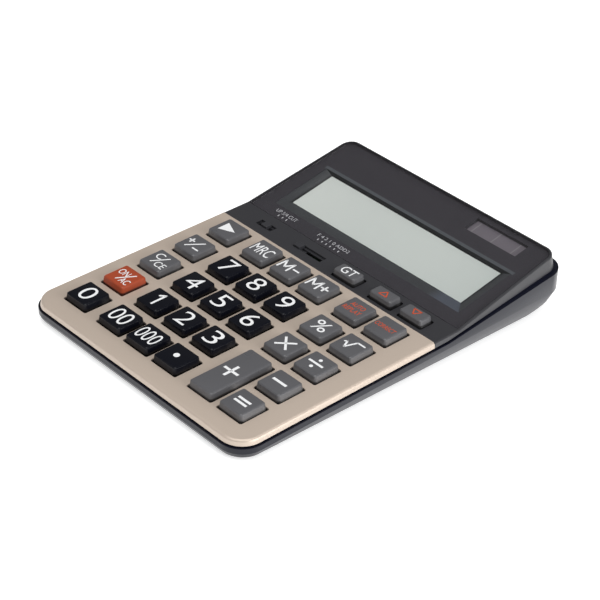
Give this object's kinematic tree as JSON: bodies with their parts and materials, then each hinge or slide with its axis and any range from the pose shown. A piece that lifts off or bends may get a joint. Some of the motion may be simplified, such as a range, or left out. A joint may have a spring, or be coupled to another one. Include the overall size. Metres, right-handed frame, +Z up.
{
  "type": "desk calculator",
  "caption": "Wedge-shaped desk calculator with a metal keypad faceplate, square keys, two slide switches and a wide tilted liquid crystal display behind a clear panel.",
  "frame": {"origin": "on the table, under the middle of the case", "axes": "+X to the user's right, +Y from the user to the back of the case, +Z up from the table"},
  "size_m": [0.1524, 0.2096, 0.0339],
  "materials": {
    "lower_case": "dark grey moulding, gloss, fine orange peel",
    "upper_case": "charcoal moulding, satin",
    "faceplate": "champagne anodised sheet, satin",
    "clear_window": "clear acrylic, polished",
    "mask_print": "charcoal print behind the clear panel",
    "bezel": "dark blue-grey moulding, satin",
    "lcd_glass": "silver-green liquid crystal panel",
    "white_plastic": "natural white moulding",
    "elastomer": "striped conductive rubber",
    "circuit_board": "glass-fibre board, green lacquer",
    "ribbon": "film cable, cream",
    "solar_cell": "amorphous cell, dark purple-brown",
    "chip_resin": "black epoxy drop",
    "dome_rubber": "grey silicone",
    "steel": "zinc-plated steel",
    "battery_sleeve": "plain dark sleeve",
    "contact_metal": "nickel-plated spring strip",
    "foot_rubber": "black rubber",
    "switch_plastic": "charcoal moulding, satin",
    "black_key": "near-black, gloss",
    "grey_key": "mid grey, satin",
    "orange_key": "orange-red, satin"
  },
  "bodies": {
    "housing": {"battery": "battery_sleeve", "battery_contacts": "contact_metal", "battery_cover": "lower_case", "battery_cover_screws": "steel", "board_screws": "steel", "case_screws": "steel", "controller_chip": "chip_resin", "display_board": "circuit_board", "display_window": "clear_window", "dome_sheet": "dome_rubber", "keypad_faceplate": "faceplate", "lcd_bezel": "bezel", "lcd_connector": "elastomer", "lcd_frame": "white_plastic", "lcd_frame_screws": "steel", "lcd_glass": "lcd_glass", "lower_case": "lower_case", "main_board": "circuit_board", "ribbon_cable": "ribbon", "rubber_feet": "foot_rubber", "solar_cell": "solar_cell", "upper_case": "upper_case", "window_mask": "mask_print"},
    "key_0": {"key_0": "black_key"},
    "key_00": {"key_00": "black_key"},
    "key_000": {"key_000": "black_key"},
    "key_1": {"key_1": "black_key"},
    "key_2": {"key_2": "black_key"},
    "key_3": {"key_3": "black_key"},
    "key_4": {"key_4": "black_key"},
    "key_5": {"key_5": "black_key"},
    "key_6": {"key_6": "black_key"},
    "key_7": {"key_7": "black_key"},
    "key_8": {"key_8": "black_key"},
    "key_9": {"key_9": "black_key"},
    "key_auto_replay": {"key_auto_replay": "grey_key"},
    "key_c_ce": {"key_c_ce": "grey_key"},
    "key_check_down": {"key_check_down": "grey_key"},
    "key_check_up": {"key_check_up": "grey_key"},
    "key_correct": {"key_correct": "grey_key"},
    "key_divide": {"key_divide": "grey_key"},
    "key_equals": {"key_equals": "grey_key"},
    "key_grand_total": {"key_grand_total": "grey_key"},
    "key_memory_minus": {"key_memory_minus": "grey_key"},
    "key_memory_plus": {"key_memory_plus": "grey_key"},
    "key_memory_recall": {"key_memory_recall": "grey_key"},
    "key_minus": {"key_minus": "grey_key"},
    "key_on_ac": {"key_on_ac": "orange_key"},
    "key_percent": {"key_percent": "grey_key"},
    "key_plus": {"key_plus": "grey_key"},
    "key_point": {"key_point": "black_key"},
    "key_root": {"key_root": "grey_key"},
    "key_shift": {"key_shift": "grey_key"},
    "key_sign": {"key_sign": "grey_key"},
    "key_times": {"key_times": "grey_key"},
    "rounding_switch": {"rounding_switch_knob": "switch_plastic", "rounding_switch_wiper": "contact_metal"},
    "decimal_switch": {"decimal_switch_knob": "switch_plastic", "decimal_switch_wiper": "contact_metal"}
  },
  "joints": [
    {"name": "key_0_press", "type": "slide", "parent": "housing", "child": "key_0", "axis": [0, -0.0523, 0.9986], "range_m": [-0.0015, 0], "stiffness_N_per_m": 300, "springref_m": 0.0003, "deforming": ["dome_sheet"]},
    {"name": "key_00_press", "type": "slide", "parent": "housing", "child": "key_00", "axis": [0, -0.0523, 0.9986], "range_m": [-0.0015, 0], "stiffness_N_per_m": 300, "springref_m": 0.0003, "deforming": ["dome_sheet"]},
    {"name": "key_000_press", "type": "slide", "parent": "housing", "child": "key_000", "axis": [0, -0.0523, 0.9986], "range_m": [-0.0015, 0], "stiffness_N_per_m": 300, "springref_m": 0.0003, "deforming": ["dome_sheet"]},
    {"name": "key_1_press", "type": "slide", "parent": "housing", "child": "key_1", "axis": [0, -0.0523, 0.9986], "range_m": [-0.0015, 0], "stiffness_N_per_m": 300, "springref_m": 0.0003, "deforming": ["dome_sheet"]},
    {"name": "key_2_press", "type": "slide", "parent": "housing", "child": "key_2", "axis": [0, -0.0523, 0.9986], "range_m": [-0.0015, 0], "stiffness_N_per_m": 300, "springref_m": 0.0003, "deforming": ["dome_sheet"]},
    {"name": "key_3_press", "type": "slide", "parent": "housing", "child": "key_3", "axis": [0, -0.0523, 0.9986], "range_m": [-0.0015, 0], "stiffness_N_per_m": 300, "springref_m": 0.0003, "deforming": ["dome_sheet"]},
    {"name": "key_4_press", "type": "slide", "parent": "housing", "child": "key_4", "axis": [0, -0.0523, 0.9986], "range_m": [-0.0015, 0], "stiffness_N_per_m": 300, "springref_m": 0.0003, "deforming": ["dome_sheet"]},
    {"name": "key_5_press", "type": "slide", "parent": "housing", "child": "key_5", "axis": [0, -0.0523, 0.9986], "range_m": [-0.0015, 0], "stiffness_N_per_m": 300, "springref_m": 0.0003, "deforming": ["dome_sheet"]},
    {"name": "key_6_press", "type": "slide", "parent": "housing", "child": "key_6", "axis": [0, -0.0523, 0.9986], "range_m": [-0.0015, 0], "stiffness_N_per_m": 300, "springref_m": 0.0003, "deforming": ["dome_sheet"]},
    {"name": "key_7_press", "type": "slide", "parent": "housing", "child": "key_7", "axis": [0, -0.0523, 0.9986], "range_m": [-0.0015, 0], "stiffness_N_per_m": 300, "springref_m": 0.0003, "deforming": ["dome_sheet"]},
    {"name": "key_8_press", "type": "slide", "parent": "housing", "child": "key_8", "axis": [0, -0.0523, 0.9986], "range_m": [-0.0015, 0], "stiffness_N_per_m": 300, "springref_m": 0.0003, "deforming": ["dome_sheet"]},
    {"name": "key_9_press", "type": "slide", "parent": "housing", "child": "key_9", "axis": [0, -0.0523, 0.9986], "range_m": [-0.0015, 0], "stiffness_N_per_m": 300, "springref_m": 0.0003, "deforming": ["dome_sheet"]},
    {"name": "key_auto_replay_press", "type": "slide", "parent": "housing", "child": "key_auto_replay", "axis": [0, -0.0523, 0.9986], "range_m": [-0.0015, 0], "stiffness_N_per_m": 300, "springref_m": 0.0003, "deforming": ["dome_sheet"]},
    {"name": "key_c_ce_press", "type": "slide", "parent": "housing", "child": "key_c_ce", "axis": [0, -0.0523, 0.9986], "range_m": [-0.0015, 0], "stiffness_N_per_m": 300, "springref_m": 0.0003, "deforming": ["dome_sheet"]},
    {"name": "key_check_down_press", "type": "slide", "parent": "housing", "child": "key_check_down", "axis": [0, -0.0523, 0.9986], "range_m": [-0.0015, 0], "stiffness_N_per_m": 300, "springref_m": 0.0003, "deforming": ["dome_sheet"]},
    {"name": "key_check_up_press", "type": "slide", "parent": "housing", "child": "key_check_up", "axis": [0, -0.0523, 0.9986], "range_m": [-0.0015, 0], "stiffness_N_per_m": 300, "springref_m": 0.0003, "deforming": ["dome_sheet"]},
    {"name": "key_correct_press", "type": "slide", "parent": "housing", "child": "key_correct", "axis": [0, -0.0523, 0.9986], "range_m": [-0.0015, 0], "stiffness_N_per_m": 300, "springref_m": 0.0003, "deforming": ["dome_sheet"]},
    {"name": "key_divide_press", "type": "slide", "parent": "housing", "child": "key_divide", "axis": [0, -0.0523, 0.9986], "range_m": [-0.0015, 0], "stiffness_N_per_m": 300, "springref_m": 0.0003, "deforming": ["dome_sheet"]},
    {"name": "key_equals_press", "type": "slide", "parent": "housing", "child": "key_equals", "axis": [0, -0.0523, 0.9986], "range_m": [-0.0015, 0], "stiffness_N_per_m": 300, "springref_m": 0.0003, "deforming": ["dome_sheet"]},
    {"name": "key_grand_total_press", "type": "slide", "parent": "housing", "child": "key_grand_total", "axis": [0, -0.0523, 0.9986], "range_m": [-0.0015, 0], "stiffness_N_per_m": 300, "springref_m": 0.0003, "deforming": ["dome_sheet"]},
    {"name": "key_memory_minus_press", "type": "slide", "parent": "housing", "child": "key_memory_minus", "axis": [0, -0.0523, 0.9986], "range_m": [-0.0015, 0], "stiffness_N_per_m": 300, "springref_m": 0.0003, "deforming": ["dome_sheet"]},
    {"name": "key_memory_plus_press", "type": "slide", "parent": "housing", "child": "key_memory_plus", "axis": [0, -0.0523, 0.9986], "range_m": [-0.0015, 0], "stiffness_N_per_m": 300, "springref_m": 0.0003, "deforming": ["dome_sheet"]},
    {"name": "key_memory_recall_press", "type": "slide", "parent": "housing", "child": "key_memory_recall", "axis": [0, -0.0523, 0.9986], "range_m": [-0.0015, 0], "stiffness_N_per_m": 300, "springref_m": 0.0003, "deforming": ["dome_sheet"]},
    {"name": "key_minus_press", "type": "slide", "parent": "housing", "child": "key_minus", "axis": [0, -0.0523, 0.9986], "range_m": [-0.0015, 0], "stiffness_N_per_m": 300, "springref_m": 0.0003, "deforming": ["dome_sheet"]},
    {"name": "key_on_ac_press", "type": "slide", "parent": "housing", "child": "key_on_ac", "axis": [0, -0.0523, 0.9986], "range_m": [-0.0015, 0], "stiffness_N_per_m": 300, "springref_m": 0.0003, "deforming": ["dome_sheet"]},
    {"name": "key_percent_press", "type": "slide", "parent": "housing", "child": "key_percent", "axis": [0, -0.0523, 0.9986], "range_m": [-0.0015, 0], "stiffness_N_per_m": 300, "springref_m": 0.0003, "deforming": ["dome_sheet"]},
    {"name": "key_plus_press", "type": "slide", "parent": "housing", "child": "key_plus", "axis": [0, -0.0523, 0.9986], "range_m": [-0.0015, 0], "stiffness_N_per_m": 300, "springref_m": 0.0003, "deforming": ["dome_sheet"]},
    {"name": "key_point_press", "type": "slide", "parent": "housing", "child": "key_point", "axis": [0, -0.0523, 0.9986], "range_m": [-0.0015, 0], "stiffness_N_per_m": 300, "springref_m": 0.0003, "deforming": ["dome_sheet"]},
    {"name": "key_root_press", "type": "slide", "parent": "housing", "child": "key_root", "axis": [0, -0.0523, 0.9986], "range_m": [-0.0015, 0], "stiffness_N_per_m": 300, "springref_m": 0.0003, "deforming": ["dome_sheet"]},
    {"name": "key_shift_press", "type": "slide", "parent": "housing", "child": "key_shift", "axis": [0, -0.0523, 0.9986], "range_m": [-0.0015, 0], "stiffness_N_per_m": 300, "springref_m": 0.0003, "deforming": ["dome_sheet"]},
    {"name": "key_sign_press", "type": "slide", "parent": "housing", "child": "key_sign", "axis": [0, -0.0523, 0.9986], "range_m": [-0.0015, 0], "stiffness_N_per_m": 300, "springref_m": 0.0003, "deforming": ["dome_sheet"]},
    {"name": "key_times_press", "type": "slide", "parent": "housing", "child": "key_times", "axis": [0, -0.0523, 0.9986], "range_m": [-0.0015, 0], "stiffness_N_per_m": 300, "springref_m": 0.0003, "deforming": ["dome_sheet"]},
    {"name": "rounding_switch_slide", "type": "slide", "parent": "housing", "child": "rounding_switch", "axis": [1, 0, 0], "range_m": [-0.00293, 0.00293]},
    {"name": "decimal_switch_slide", "type": "slide", "parent": "housing", "child": "decimal_switch", "axis": [1, 0, 0], "range_m": [0, 0.01465]}
  ]
}
